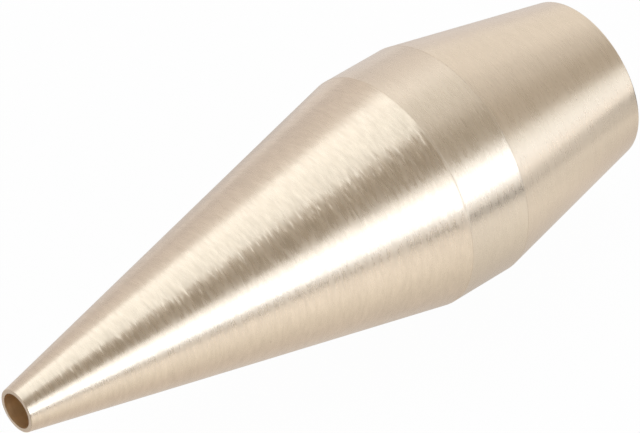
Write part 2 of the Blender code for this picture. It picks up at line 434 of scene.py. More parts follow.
class NozzleSizes(bpy.types.PropertyGroup):
    """Sizes of the turned pieces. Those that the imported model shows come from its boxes."""

    tip: length("Tip", -NOSE_LOW.y, "Place of the tip, from the rear face")
    shank_end: length("Shank end", -NOSE_HIGH.y, "Place of the shank's rear end")
    shoulder: length("Shoulder", -BAND_LOW.y + FRONT_LINE_GAP, "Place of the cone's rear edge")
    band_front: length("Band front", -BAND_LOW.y, "Place of the band's front face")
    band_rear: length("Band rear", -BAND_HIGH.y, "Place of the band's rear face")
    tail_front: length("Tail front", -BAND_HIGH.y - REAR_LINE_GAP, "Place of the tail's front face")
    band_radius: length("Band radius", BAND_HIGH.x, "Outer radius of the band")
    rear_radius: length("Rear radius", 0.00495, "Outer radius of the tail at the rear face")
    rear_rounding: length("Rear rounding", 0.0001, "Rounding of the tail's rear rim")
    tip_radius: length("Tip radius", 0.0013, "Outer radius of the lip at the tip")
    lip_wall: length("Lip wall", 0.00024, "Wall of the lip round the mouth")
    lip_rounding: length("Lip rounding", 0.00005, "Rounding of the lip's outer edge")
    mouth_edge: length("Mouth edge", 0.00001, "Rounding of the lip's edge at the mouth")
    edge_break: length("Edge break", 0.00001, "Broken edge at the lines between the pieces")
    insert_seat: length("Insert seat", 0.0355, "Place where the mouth's bore widens")
    insert_bore: length("Insert bore", 0.0018, "Radius of the bore behind the insert seat")
    screw_seat: length("Screw seat", 0.0218, "Place where the bore widens for the lock screw")
    shank_bore: length("Shank bore", 0.0028, "Radius of the bore in the shank")
    pilot_radius: length("Pilot radius", 0.00335, "Radius of the shank's plain end")
    thread_radius: length("Thread radius", 0.0040, "Outer radius of the shank's thread")
    thread_pitch: length("Thread pitch", 0.0010, "Travel of the thread in one turn")
    thread_depth: length("Thread depth", 0.00045, "Depth of the thread's groove")
    thread_room: length("Thread room", 0.0002, "Clearance round the thread in the tail")
    collar_room: length("Collar room", 0.00005, "Clearance of the band on the shank")
    inlet_radius: length("Inlet radius", 0.0026, "Radius of the inlet hole")
    inlet_depth: length("Inlet depth", 0.0020, "Depth of the inlet hole")
    pocket_radius: length("Pocket radius", 0.0036, "Radius of the pocket for the strainer's flange")
    segments: bpy.props.IntProperty(
        name="Segments", description="Steps round each turned surface", default=256, min=32, max=512
    )


class NozzleFinishes(bpy.types.PropertyGroup):
    """Colours of the metals, as they look under plain white light."""

    nose: colour("Nose", (0.80, 0.66, 0.51), "Pale alloy of the nose cone")
    band: colour("Band", (0.79, 0.665, 0.525), "Pale alloy of the collar band")
    tail: colour("Tail", (0.78, 0.65, 0.51), "Pale alloy of the tail sleeve")
    # The bore inside the mouth gets a browner, darker colour than the nose's metal
    bore: colour("Bore", (0.80, 0.57, 0.33), "Brown skin left by the drill inside the mouth")
    steel: colour("Steel", (0.62, 0.61, 0.58), "Ground steel of the orifice insert")
    brass: colour("Brass", (0.72, 0.55, 0.28), "Plain brass of the distributor")
    screw: colour("Screw", (0.70, 0.53, 0.27), "Plain brass of the lock screw")
    bronze: colour("Bronze", (0.47, 0.30, 0.16), "Sintered bronze of the strainer")
    copper: colour("Copper", (0.72, 0.38, 0.24), "Soft copper of the seal washer")


class NozzleStudio(bpy.types.PropertyGroup):
    """Brightness of the studio round the nozzle."""

    side_light: lamp_level("Side light", 2.25, "Brightness of the low panel on the right")
    side_fade: lamp_level("Side fade", 1.27, "Brightness of the low panel's upper part")
    end_light: lamp_level("End light", 0.84, "Brightness of the low panel beyond the rear end")
    top_light: lamp_level("Top light", 0.71, "Brightness of the panel overhead")
    floor_white: share("Floor white", 0.97, "Share of the floor's own white in its look")


# Building of meshes


def unit(vector):
    """The vector of length 1 in the same direction."""
    return vector / np.linalg.norm(vector)


def broken_corner(before, corner, after, setback):
    """Points that replace a corner by a parabola that touches both its sides.

    The parabola starts and ends at the setback from the corner. One more point on each
    side, a little further off, keeps the smooth shading of the sides flat.
    """
    back = unit(before - corner)
    ahead = unit(after - corner)
    start = corner + setback * back
    end = corner + setback * ahead
    part = np.linspace(0.0, 1.0, CORNER_STEPS + 1)[:, None]
    curve = (1 - part) ** 2 * start + 2 * part * (1 - part) * corner + part**2 * end
    guard = GUARD_SHARE * setback
    return np.vstack([start + guard * back, curve, end + guard * ahead])


def outline_of(corners):
    """Closed outline through corners of (place, radius, setback), each broken by its setback."""
    places = np.array([corner[:2] for corner in corners], float)
    before = np.roll(places, 1, axis=0)
    after = np.roll(places, -1, axis=0)
    runs = []
    for index, corner in enumerate(corners):
        setback = corner[2]
        if setback > 0:
            runs.append(broken_corner(before[index], places[index], after[index], setback))
        else:
            runs.append(places[index : index + 1])
    return np.vstack(runs)


def with_rows(outline, longest):
    """The outline with even extra points where two of its points lie further apart than longest."""
    following = np.roll(outline, -1, axis=0)
    gaps = np.linalg.norm(following - outline, axis=1)
    counts = np.maximum(1, np.ceil(gaps / longest).astype(int))
    owner = np.repeat(np.arange(len(outline)), counts)
    step = np.arange(len(owner)) - np.repeat(np.cumsum(counts) - counts, counts)
    part = (step / counts[owner])[:, None]
    return outline[owner] * (1 - part) + following[owner] * part


def with_thread_rows(outline, crest, places):
    """The outline with points on the thread's crest at the places, after its first point there."""
    first = int(np.argmax(np.abs(outline[:, 1] - crest) < SAME_RADIUS))
    run = np.stack([places, np.full(len(places), crest)], axis=-1)
    return np.vstack([outline[: first + 1], run, outline[first + 1 :]])


def thread_cut(outline, start, end, crest, depth):
    """Depth of the thread's groove at each outline point.

    It grows from zero at start and at end to the full depth over the run-out, and is
    zero wherever the outline isn't at the thread's crest.
    """
    place, radius = outline.T
    fade = np.minimum(place - start, end - place) / THREAD_RUNOUT
    on_crest = np.abs(radius - crest) < SAME_RADIUS
    return depth * np.clip(fade, 0.0, 1.0) * on_crest


def turned_points(outline, cut, pitch, segments):
    """Grid of points: the outline carried round the Y axis.

    A point at place s, radius r and angle a lies at (r cos a, -s, r sin a). Where the
    outline carries a thread, r falls by the cut times a flat-topped wave of the phase
    2 pi s / pitch - a, which makes one right-hand groove.
    """
    place, radius = outline.T[:, :, None]
    angle = np.linspace(0.0, 2 * np.pi, segments, endpoint=False)
    phase = 2 * np.pi * place / pitch - angle
    groove = np.clip(GROOVE_MIDDLE + GROOVE_SWING * np.cos(phase), 0.0, 1.0)
    reach = radius - cut[:, None] * groove
    level = np.broadcast_to(-place, reach.shape)
    return np.stack([reach * np.cos(angle), level, reach * np.sin(angle)], axis=-1)


def quad_corners(rows, columns):
    """Rows and columns of the four corners of each quad, on a grid of rows by columns quads."""
    row, column = np.meshgrid(np.arange(rows), np.arange(columns), indexing="ij")
    corner_rows = np.stack([row, row + 1, row + 1, row], axis=-1).reshape(-1, 4)
    corner_columns = np.stack([column, column, column + 1, column + 1], axis=-1).reshape(-1, 4)
    return corner_rows, corner_columns


def faces_inward(points, faces):
    """Whether the quads of a closed surface face inward, by the sign of the volume they enclose."""
    first, second, fourth = (points[faces[:, corner]] for corner in (0, 1, 3))
    crossed = np.cross(second - first, fourth - first)
    return np.einsum("ij,ij->", crossed, first) < 0


def turned_mesh(name, outline, cut, pitch, segments):
    """Closed ring surface over the turned points, with its faces outward.

    The UV map runs along the outline in U and round the axis in V.
    """
    points = turned_points(outline, cut, pitch, segments).reshape(-1, 3)
    rows = len(outline)
    corner_rows, corner_columns = quad_corners(rows, segments)
    faces = (corner_rows % rows) * segments + corner_columns % segments
    walk = np.linalg.norm(np.roll(outline, -1, axis=0) - outline, axis=1)
    along = np.concatenate([[0.0], np.cumsum(walk)]) / walk.sum()
    uv = np.stack([along[corner_rows], corner_columns / segments], axis=-1)
    if faces_inward(points, faces):
        faces, uv = faces[:, ::-1], uv[:, ::-1]
    return mesh_from(name, points, faces, uv)


def flat_sheet(name, corner, across, along, count):
    """Flat sheet: corner + a * across + b * along, with a and b from 0 to 1 on an even grid."""
    step = np.linspace(0.0, 1.0, count + 1)
    a, b = np.meshgrid(step, step, indexing="ij")
    points = np.asarray(corner) + a[..., None] * np.asarray(across) + b[..., None] * np.asarray(along)
    corner_rows, corner_columns = quad_corners(count, count)
    faces = corner_rows * (count + 1) + corner_columns
    uv = np.stack([a, b], axis=-1).reshape(-1, 2)[faces]
    return mesh_from(name, points.reshape(-1, 3), faces, uv)


def mesh_from(name, points, faces, uv):
    """A mesh of quads from whole arrays, smooth except at sharp edges."""
    mesh = bpy.data.meshes.new(name)
    mesh.vertices.add(len(points))
    mesh.vertices.foreach_set("co", points.astype(np.float32).ravel())
    mesh.loops.add(faces.size)
    mesh.loops.foreach_set("vertex_index", np.ascontiguousarray(faces).ravel().astype(np.int32))
    mesh.polygons.add(len(faces))
    mesh.polygons.foreach_set("loop_start", np.arange(0, faces.size, 4, dtype=np.int32))
    layer = mesh.uv_layers.new(name=UV_NAME)
    layer.data.foreach_set("uv", np.ascontiguousarray(uv).ravel().astype(np.float32))
    mesh.update(calc_edges=True)
    mesh.validate()
    mesh.shade_smooth()
    mesh.set_sharp_from_angle(angle=SHARP_ANGLE)
    return mesh


def add_object(name, data):
    """An object for a finished mesh, lamp or camera, linked to the scene at the origin."""
    item = bpy.data.objects.new(name, data)
    bpy.context.scene.collection.objects.link(item)
    return item


# Outlines of the turned pieces


def mouth_radius(sizes):
    """Radius of the mouth inside the lip."""
    return sizes.tip_radius - sizes.lip_wall


def thread_ends(sizes):
    """Places where the thread's rows start and end on the shank."""
    return sizes.shank_end + PILOT_LENGTH, sizes.tail_front - FRONT_RELIEF


def nose_outline(sizes):
    """Outline of the nose: the shank, the cone, the lip and the stepped bore."""
    thread_start, thread_end = thread_ends(sizes)
    mouth = mouth_radius(sizes)
    corners = [
        (sizes.shank_end, sizes.shank_bore, sizes.edge_break),
        (sizes.shank_end, sizes.pilot_radius, sizes.edge_break),
        (thread_start, sizes.pilot_radius, 0.0),
        (thread_start, sizes.thread_radius, 0.0),
        (sizes.shoulder, sizes.thread_radius, 0.0),
        (sizes.shoulder, sizes.band_radius, sizes.edge_break),
        (sizes.tip, sizes.tip_radius, sizes.lip_rounding),
        (sizes.tip, mouth, sizes.mouth_edge),
        (sizes.insert_seat, mouth, 0.0),
        (sizes.insert_seat, sizes.insert_bore, 0.0),
        (sizes.screw_seat, sizes.insert_bore, 0.0),
        (sizes.screw_seat, sizes.shank_bore, 0.0),
    ]
    step = sizes.thread_pitch / ROWS_PER_PITCH
    places = np.arange(thread_start + step, thread_end + step, step)
    outline = with_thread_rows(outline_of(corners), sizes.thread_radius, places)
    return with_rows(outline, LONGEST_ROW)


def band_outline(sizes):
    """Outline of the band: a plain ring that clears the shank."""
    bore = sizes.thread_radius + sizes.collar_room
    corners = [
        (sizes.band_rear, bore, sizes.edge_break),
        (sizes.band_rear, sizes.band_radius, sizes.edge_break),
        (sizes.band_front, sizes.band_radius, sizes.edge_break),
        (sizes.band_front, bore, sizes.edge_break),
    ]
    return with_rows(outline_of(corners), LONGEST_BAND_ROW)


def tail_outline(sizes, crest):
    """Outline of the tail: the inlet, the taper, the threaded bore of radius crest and the pocket."""
    pocket_top = sizes.inlet_depth + SEAT_GAP + STRAINER_FLANGE
    corners = [
        (0.0, sizes.inlet_radius, 2 * sizes.edge_break),
        (0.0, sizes.rear_radius, sizes.rear_rounding),
        (sizes.tail_front, sizes.band_radius, sizes.edge_break),
        (sizes.tail_front, crest, 0.0),
        (pocket_top, crest, 0.0),
        (pocket_top, sizes.pocket_radius, 0.0),
        (sizes.inlet_depth, sizes.pocket_radius, 0.0),
        (sizes.inlet_depth, sizes.inlet_radius, 0.0),
    ]
    thread_start, thread_end = thread_ends(sizes)
    places = np.arange(thread_end - THREAD_RUNOUT, thread_start, -sizes.thread_pitch / ROWS_PER_PITCH)
    outline = with_thread_rows(outline_of(corners), crest, places)
    return with_rows(outline, LONGEST_ROW)


def drilled_faces(outline, sizes):
    """1 for each quad of the nose inside the mouth, and 0 for all others."""
    in_mouth = outline[:, 1] < mouth_radius(sizes) + MOUTH_MARGIN
    drilled = np.repeat(in_mouth & np.roll(in_mouth, -1), sizes.segments)
    return drilled.astype(np.int32)


# Nodes


def new_material(name):
    """A new node material, its node tree, its shader and its object coordinates."""
    material = bpy.data.materials.new(name)
    material.use_nodes = True
    tree = material.node_tree
    shader = tree.nodes["Principled BSDF"]
    place = tree.nodes.new("ShaderNodeTexCoord").outputs["Object"]
    return material, tree, shader, place


def feed(tree, socket, value):
    """Link a socket to another node's output, or set it to a plain value."""
    if isinstance(value, bpy.types.NodeSocket):
        tree.links.new(value, socket)
    else:
        socket.default_value = value


def maths(tree, operation, *values):
    """One Math node; the values are outputs or numbers."""
    node = tree.nodes.new("ShaderNodeMath")
    node.operation = operation
    for socket, value in zip(node.inputs, values):
        feed(tree, socket, value)
    return node.outputs["Value"]


def vectors(tree, operation, *values):
    """One Vector Math node; the values are outputs or vectors."""
    node = tree.nodes.new("ShaderNodeVectorMath")
    node.operation = operation
    for socket, value in zip(node.inputs, values):
        feed(tree, socket, value)
    return node.outputs["Value" if operation == "LENGTH" else "Vector"]


def scaled(tree, vector, amount):
    """A vector times a number."""
    node = tree.nodes.new("ShaderNodeVectorMath")
    node.operation = "SCALE"
    feed(tree, node.inputs["Vector"], vector)
    feed(tree, node.inputs["Scale"], amount)
    return node.outputs["Vector"]


def separated(tree, vector):
    """The X, Y and Z of a vector."""
    node = tree.nodes.new("ShaderNodeSeparateXYZ")
    feed(tree, node.inputs["Vector"], vector)
    return node.outputs["X"], node.outputs["Y"], node.outputs["Z"]


def noise(tree, vector, scale, detail=2.0, roughness=0.5):
    """Noise from 0 to 1 over a vector."""
    node = tree.nodes.new("ShaderNodeTexNoise")
    feed(tree, node.inputs["Vector"], vector)
    node.inputs["Scale"].default_value = scale
    node.inputs["Detail"].default_value = detail
    node.inputs["Roughness"].default_value = roughness
    return node.outputs["Fac"]


def cells(tree, vector, scale):
    """A pattern of cells: the distance from each cell's middle, and the cell's own colour."""
    node = tree.nodes.new("ShaderNodeTexVoronoi")
    feed(tree, node.inputs["Vector"], vector)
    node.inputs["Scale"].default_value = scale
    return node.outputs["Distance"], node.outputs["Color"]


def ranged(tree, value, low, high, to_low, to_high):
    """A value carried from one range to another, and held at its ends."""
    node = tree.nodes.new("ShaderNodeMapRange")
    feed(tree, node.inputs["Value"], value)
    node.inputs["From Min"].default_value = low
    node.inputs["From Max"].default_value = high
    node.inputs["To Min"].default_value = to_low
    node.inputs["To Max"].default_value = to_high
    return node.outputs["Result"]


def mixed_colour(tree, factor, first, second):
    """A mix of two colours."""
    node = tree.nodes.new("ShaderNodeMix")
    node.data_type = "RGBA"
    feed(tree, node.inputs["Factor"], factor)
    feed(tree, node.inputs["A"], first)
    feed(tree, node.inputs["B"], second)
    return node.outputs["Result"]


def mixed_shader(tree, factor, first, second):
    """A mix of two shaders."""
    node = tree.nodes.new("ShaderNodeMixShader")
    feed(tree, node.inputs["Fac"], factor)
    tree.links.new(first, node.inputs[1])
    tree.links.new(second, node.inputs[2])
    return node.outputs["Shader"]


def glow(tree, tone):
    """Light of a colour, at a strength of 1."""
    node = tree.nodes.new("ShaderNodeEmission")
    feed(tree, node.inputs["Color"], tone)
    return node.outputs["Emission"]


def tone_ramp(tree, value, stops, step, interpolation="LINEAR"):
    """A colour that runs through stops of (place, red, green, blue), and is held beyond them.

    The step is the change of the value for one whole place, such as 0.001 for places in
    millimetres.
    """
    first, last = stops[0][0], stops[-1][0]
    ramp = tree.nodes.new("ShaderNodeValToRGB")
    feed(tree, ramp.inputs["Fac"], ranged(tree, value, first * step, last * step, 0.0, 1.0))
    ramp.color_ramp.interpolation = interpolation
    elements = ramp.color_ramp.elements
    while len(elements) > 1:
        elements.remove(elements[-1])
    for index, (place, *tone) in enumerate(stops):
        position = (place - first) / (last - first)
        element = elements[0] if index == 0 else elements.new(position)
        element.position = position
        element.color = (*tone, 1.0)
    return ramp.outputs["Color"]


def grey_stops(stops):
    """Stops of (place, tone) as stops of (place, red, green, blue)."""
    return [(place, tone, tone, tone) for place, tone in stops]


def grey(tone):
    """A grey with full alpha."""
    return (tone, tone, tone, 1.0)


def toned(tone, amount):
    """A colour made darker or lighter, with full alpha."""
    return (*[min(1.0, channel * amount) for channel in tone], 1.0)


# Metals


def lathe_place(tree, place, mark_width, mark_length):
    """Coordinates in which tool marks are round: fine across the marks and long round the axis.

    The distance across the marks is Y less the radius, so marks are rings on the cones
    and on flat end faces alike.
    """
    x, y, z = separated(tree, place)
    radius = vectors(tree, "LENGTH", vectors(tree, "MULTIPLY", place, OFF_AXIS))
    across = maths(tree, "SUBTRACT", y, radius)
    joined = tree.nodes.new("ShaderNodeCombineXYZ")
    feed(tree, joined.inputs["X"], maths(tree, "DIVIDE", x, mark_length))
    feed(tree, joined.inputs["Y"], maths(tree, "DIVIDE", across, mark_width))
    feed(tree, joined.inputs["Z"], maths(tree, "DIVIDE", z, mark_length))
    return joined.outputs["Vector"]


def mark_noise(tree, place, turning, marks):
    """Noise from 0 to 1 over one layer of a finish's tool marks."""
    wide = marks.width * turning.mark_width
    long = marks.length * turning.mark_length
    spot = vectors(tree, "ADD", lathe_place(tree, place, wide, long), marks.shift)
    return noise(tree, spot, 1.0, marks.detail, marks.roughness)


def upper_right(tree, place):
    """A weight of 1 in the sector above and to the right of the axis, which fades to 0 beside it."""
    x, _, z = separated(tree, place)
    angle = maths(tree, "ARCTAN2", z, x)
    rise = ranged(tree, angle, *SECTOR_RISE, 0.0, 1.0)
    fall = ranged(tree, angle, *SECTOR_FALL, 1.0, 0.0)
    return maths(tree, "MULTIPLY", rise, fall)


def tilted_normal(tree, tilt_round, tilt_along):
    """The surface's normal, tipped by small amounts round the axis and along it."""
    normal = tree.nodes.new("ShaderNodeNewGeometry").outputs["Normal"]
    round_axis = vectors(tree, "NORMALIZE", vectors(tree, "CROSS_PRODUCT", normal, AXIS))
    along = vectors(tree, "CROSS_PRODUCT", normal, round_axis)
    tipped = vectors(tree, "ADD", normal, scaled(tree, round_axis, tilt_round))
    tipped = vectors(tree, "ADD", tipped, scaled(tree, along, tilt_along))
    return vectors(tree, "NORMALIZE", tipped)


def marked_normal(tree, place, turning, sector):
    """The normal as the tool marks tip it, with the deeper marks in the sector."""
    round_part = mark_noise(tree, place, turning, ROUND_MARKS)
    round_part = ranged(tree, round_part, *TILT_SPAN, -turning.tilt_round, turning.tilt_round)
    along_part = mark_noise(tree, place, turning, ALONG_MARKS)
    along_part = ranged(tree, along_part, *TILT_SPAN, -turning.tilt_along, turning.tilt_along)
    spark = mark_noise(tree, place, turning, GLINT_MARKS)
    up = ranged(tree, spark, *GLINT_UP_SPAN, 0.0, turning.glint_tilt)
    down = ranged(tree, spark, *GLINT_DOWN_SPAN, -GLINT_DOWN_SHARE * turning.glint_tilt, 0.0)
    glint = maths(tree, "MULTIPLY", maths(tree, "ADD", up, down), sector)
    return tilted_normal(tree, maths(tree, "ADD", round_part, glint), along_part)


def pit_shade_share(tree, place, most):
    """How much painted shade a pit puts on a point: up to most at the middle of a few chosen cells, and
    0 elsewhere.
    """
    distance, drawn = cells(tree, place, PIT_SCALE)
    channels = tree.nodes.new("ShaderNodeSeparateColor")
    feed(tree, channels.inputs["Color"], drawn)
    chosen = maths(tree, "GREATER_THAN", channels.outputs["Red"], PIT_CHOICE)
    return maths(tree, "MULTIPLY", ranged(tree, distance, *PIT_SPAN, most, 0.0), chosen)


def marked_tone(tree, place, tone, turning, rings, sector):
    """The metal's colour with faint rings and blotches, worn marks and painted shade in a few pits."""
    dark_ring, light_ring = (toned(tone, amount) for amount in RING_TONES)
    shade = mixed_colour(tree, ranged(tree, rings, *MARK_SPAN, 0.0, 1.0), dark_ring, light_ring)
    blotch = noise(tree, place, BLOTCH_SCALE, BLOTCH_DETAIL, BLOTCH_ROUGHNESS)
    blotch = ranged(tree, blotch, *BLOTCH_SPAN, 0.0, BLOTCH_MOST)
    shade = mixed_colour(tree, blotch, shade, toned(tone, BLOTCH_TONE))
    worn = mark_noise(tree, place, turning, WORN_MARKS)
    worn = ranged(tree, worn, *MARK_SPAN, -turning.grain, turning.grain)
    worn = maths(tree, "MULTIPLY", worn, ranged(tree, sector, 0.0, 1.0, *SECTOR_DEPTH))
    shade = scaled(tree, shade, maths(tree, "ADD", worn, 1.0))
    # Painted shade: the pits darken the metal's colour
    return mixed_colour(tree, pit_shade_share(tree, place, turning.pits), shade, toned(tone, PIT_SHADE_TONE))


def line_roughness(tree, place, lines):
    """Extra roughness beside fine lines: the most on a line, and none an edge width away from it."""
    _, y, _ = separated(tree, place)
    extra = 0.0
    for line, most in lines:
        away = maths(tree, "ABSOLUTE", maths(tree, "ADD", y, line))
        extra = maths(tree, "MAXIMUM", extra, ranged(tree, away, 0.0, EDGE_WIDTH, most, 0.0))
    return extra


def marked_roughness(tree, place, turning, rings, lines):
    """The metal's roughness, which changes with the rings and rubbed marks and rises beside lines."""
    low, high = (turning.roughness * amount for amount in RING_ROUGHNESS)
    spread = ranged(tree, rings, *MARK_SPAN, low, high)
    swing = RUBBED_SHARE * turning.grain
    rubbed = mark_noise(tree, place, turning, RUBBED_MARKS)
    rubbed = ranged(tree, rubbed, *MARK_SPAN, 1.0 - swing, 1.0 + swing)
    spread = maths(tree, "MULTIPLY", spread, rubbed)
    if lines:
        spread = maths(tree, "ADD", spread, line_roughness(tree, place, lines))
    return spread


def turned_metal(name, tone, turning, lines=()):
    """Metal fresh from the lathe: fine round tool marks, faint blotches and painted shade in a few
    pits.

    The marks tip the normal a little round the axis, which feathers the edges of
    reflections, and along it, which makes single rings glint. Broader marks change the
    tone and the roughness. Each line is a place and the extra roughness beside it.
    """
    material, tree, shader, place = new_material(name)
    rings = mark_noise(tree, place, turning, RINGS)
    sector = upper_right(tree, place)
    feed(tree, shader.inputs["Normal"], marked_normal(tree, place, turning, sector))
    feed(tree, shader.inputs["Base Color"], marked_tone(tree, place, tone, turning, rings, sector))
    feed(tree, shader.inputs["Roughness"], marked_roughness(tree, place, turning, rings, lines))
    shader.inputs["Metallic"].default_value = 1.0
    shader.inputs["Anisotropic"].default_value = turning.anisotropy
    if turning.anisotropy > 0:
        tangent = tree.nodes.new("ShaderNodeTangent")
        tangent.direction_type = "UV_MAP"
        tangent.uv_map = UV_NAME
        feed(tree, shader.inputs["Tangent"], tangent.outputs["Tangent"])
    return material


def sintered_metal(name, tone):
    """Porous metal: fused grains with painted shade in the gaps between them."""
    material, tree, shader, place = new_material(name)
    distance, _ = cells(tree, place, GRAIN_SCALE)
    gap = ranged(tree, distance, *GRAIN_GAP_SPAN, 0.0, 1.0)
    blotch = noise(tree, place, GRAIN_BLOTCH_SCALE, BLOTCH_DETAIL)
    dark_grain, light_grain = (toned(tone, amount) for amount in GRAIN_TONES)
    shade = mixed_colour(tree, blotch, dark_grain, light_grain)
    # Painted shade: the gaps between the grains are darkened
    shade = mixed_colour(tree, gap, shade, toned(tone, GRAIN_GAP_SHADE_TONE))
    feed(tree, shader.inputs["Base Color"], shade)
    feed(tree, shader.inputs["Roughness"], ranged(tree, gap, 0.0, 1.0, *GRAIN_ROUGHNESS))
    shader.inputs["Metallic"].default_value = 1.0
    bump = tree.nodes.new("ShaderNodeBump")
    bump.inputs["Strength"].default_value = GRAIN_BUMP
    bump.inputs["Distance"].default_value = GRAIN_HEIGHT
    feed(tree, bump.inputs["Height"], maths(tree, "SUBTRACT", 1.0, gap))
    feed(tree, shader.inputs["Normal"], bump.outputs["Normal"])
    return material


# Studio


def white_paper(tree, place):
    """Matt white paper with a faint grain."""
    paper = tree.nodes.new("ShaderNodeBsdfDiffuse")
    grain = noise(tree, place, PAPER_GRAIN_SCALE, PAPER_GRAIN_DETAIL)
    darker, lighter = (grey(tone) for tone in PAPER_TONES)
    feed(tree, paper.inputs["Color"], mixed_colour(tree, grain, darker, lighter))
    return paper.outputs["BSDF"]


def shade_line_reach(tree, x, y):
    """Distance over the floor that is 1 on a rounded rectangle round the nozzle, where the painted dark
    line of shade starts.

    It is the fourth root of the sum of two fourth powers: of the place to the right as a
    share of the rectangle's reach across, and of the place along, from the rectangle's
    centre, as a share of its reach along.
    """
    across = maths(tree, "DIVIDE", maths(tree, "MAXIMUM", x, 0.0), SHADE_LINE_ACROSS)
    along = maths(tree, "DIVIDE", maths(tree, "SUBTRACT", y, SHADE_LINE_CENTRE), SHADE_LINE_ALONG)
    across = maths(tree, "POWER", across, SHADE_LINE_POWER)
    along = maths(tree, "POWER", maths(tree, "ABSOLUTE", along), SHADE_LINE_POWER)
    return maths(tree, "POWER", maths(tree, "ADD", across, along), 1.0 / SHADE_LINE_POWER)


def shade_line_strength(tree, x, y):
    """Painted dark line's strength: none on the left, least along a slanting line, and less beside the
    tip.
    """
    ahead = maths(tree, "SUBTRACT", x, maths(tree, "MULTIPLY", y, SHADE_LINE_SLANT))
    strength = maths(tree, "MAXIMUM", ranged(tree, ahead, *SHADE_LINE_RISE), ranged(tree, ahead, *SHADE_LINE_FALL))
    strength = maths(tree, "MULTIPLY", strength, maths(tree, "GREATER_THAN", x, 0.0))
    return maths(tree, "MULTIPLY", strength, ranged(tree, y, *SHADE_LINE_TIP_FADE))


def painted_floor_reflection(tree, place):
    """Painted shade and light on the floor for reflections: across, along, beyond the right side, and
    at the dark line.
    """
    x, y, _ = separated(tree, place)
    across = tone_ramp(tree, x, ACROSS_SHADE_AND_LIGHT, MILLIMETRE)
    along = tone_ramp(tree, y, grey_stops(ALONG_SHADE_AND_LIGHT), MILLIMETRE)
    beyond = tone_ramp(tree, y, grey_stops(BEYOND_SHADE_AND_LIGHT), MILLIMETRE)
    beyond = mixed_colour(tree, ranged(tree, x, *BEYOND_SHADE_FADE, 0.0, 1.0), WHITE, beyond)
    rim = tone_ramp(tree, shade_line_reach(tree, x, y), grey_stops(SHADE_LINE_TONES), 1.0)
    rim = mixed_colour(tree, shade_line_strength(tree, x, y), WHITE, rim)
    tone = vectors(tree, "MULTIPLY", across, along)
    tone = vectors(tree, "MULTIPLY", tone, beyond)
    return vectors(tree, "MULTIPLY", tone, rim)


def floor_material(studio):
    """White floor: mostly its own white to the camera, so that only a faint shadow shows.

    Glossy and transmitted rays see listed tones, which stand in for the light and
    shade that lay round the nozzle in the photo. All other rays see plain white paper.
    """
    material, tree, shader, place = new_material("white_floor")
    tree.nodes.remove(shader)
    path = tree.nodes.new("ShaderNodeLightPath").outputs
    mirrored = maths(tree, "MAXIMUM", path["Is Glossy Ray"], path["Is Transmission Ray"])
    to_camera = maths(tree, "MULTIPLY", path["Is Camera Ray"], studio.floor_white)
    look = mixed_shader(tree, to_camera, white_paper(tree, place), glow(tree, WHITE))
    # Reflections see the floor glow with painted shade and light instead of its white
    look = mixed_shader(tree, mirrored, look, glow(tree, painted_floor_reflection(tree, place)))
    tree.links.new(look, tree.nodes["Material Output"].inputs["Surface"])
    return material


def room_world():
    """Soft room: tones by the angle round the nozzle's axis, from the right over the top to the left.

    Towards the rear the room is a little brighter, and its near tones give way to the far ones.
    """
    world = bpy.data.worlds.new("room")
    world.use_nodes = True
    tree = world.node_tree
    x, y, z = separated(tree, tree.nodes.new("ShaderNodeTexCoord").outputs["Generated"])
    turn = maths(tree, "ARCTAN2", z, x)
    near = tone_ramp(tree, turn, ROOM_NEAR_TONES, DEGREE, "EASE")
    far = tone_ramp(tree, turn, ROOM_FAR_TONES, DEGREE, "EASE")
    tone = mixed_colour(tree, ranged(tree, y, *ROOM_FAR_SPAN, 0.0, 1.0), near, far)
    background = tree.nodes["Background"]
    feed(tree, background.inputs["Color"], tone)
    feed(tree, background.inputs["Strength"], ranged(tree, y, *ROOM_STRENGTH))
    return world


def aim(item, place, right, back):
    """Stand a lamp or camera at a place, with its X axis along right and its Z axis along back."""
    back = Vector(back).normalized()
    up = back.cross(Vector(right)).normalized()
    axes = Matrix((up.cross(back), up, back)).transposed().to_4x4()
    item.matrix_world = Matrix.Translation(place) @ axes


def add_light_panel(panel, brightness):
    """A soft panel whose face has the given brightness: power = brightness * pi * area."""
    lamp = bpy.data.lights.new(panel.name, "AREA")
    lamp.shape = "RECTANGLE"
    lamp.size = panel.width
    lamp.size_y = panel.height
    lamp.energy = brightness * math.pi * panel.width * panel.height
    lamp.color = panel.tint
    holder = add_object(panel.name, lamp)
    aim(holder, panel.place, panel.side, -Vector(panel.facing))
    holder.visible_camera = False


def add_camera():
    """A camera at the photo's viewing angle, with a long lens given by its focal length in pixels."""
    lens = bpy.data.cameras.new("camera")
    lens.sensor_width = SENSOR_WIDTH
    lens.lens = FOCAL_PIXELS / IMAGE_WIDTH * SENSOR_WIDTH
    lens.clip_start = CLIP_NEAR
    lens.clip_end = CLIP_FAR
    camera = add_object("camera", lens)
    aim(camera, CAMERA_PLACE, CAMERA_RIGHT, CAMERA_BACK)
    return camera


# Operators


class NOZZLE_OT_nose(bpy.types.Operator):
    """Turn the nose cone with its lip, mouth and threaded shank"""

    bl_idname = "nozzle.nose"
    bl_label = "Nose cone"

    def execute(self, context):
        sizes, finish = context.scene.nozzle_sizes, context.scene.nozzle_finishes
        start, end = thread_ends(sizes)
        outline = nose_outline(sizes)
        cut = thread_cut(outline, start - THREAD_RUNOUT, end, sizes.thread_radius, sizes.thread_depth)
        mesh = turned_mesh("nose_cone_turned", outline, cut, sizes.thread_pitch, sizes.segments)
        lines = [(sizes.band_front, FRONT_EDGE_ROUGHNESS)]
        mesh.materials.append(turned_metal("nose_turned", finish.nose, NOSE_TURNING, lines))
        mesh.materials.append(turned_metal("mouth_drilled", finish.bore, MOUTH_TURNING))
        mesh.polygons.foreach_set("material_index", drilled_faces(outline, sizes))
        piece = add_object("nose_cone_turned", mesh)
        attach(piece, "nose")
        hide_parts("nose_cone")
        return {"FINISHED"}


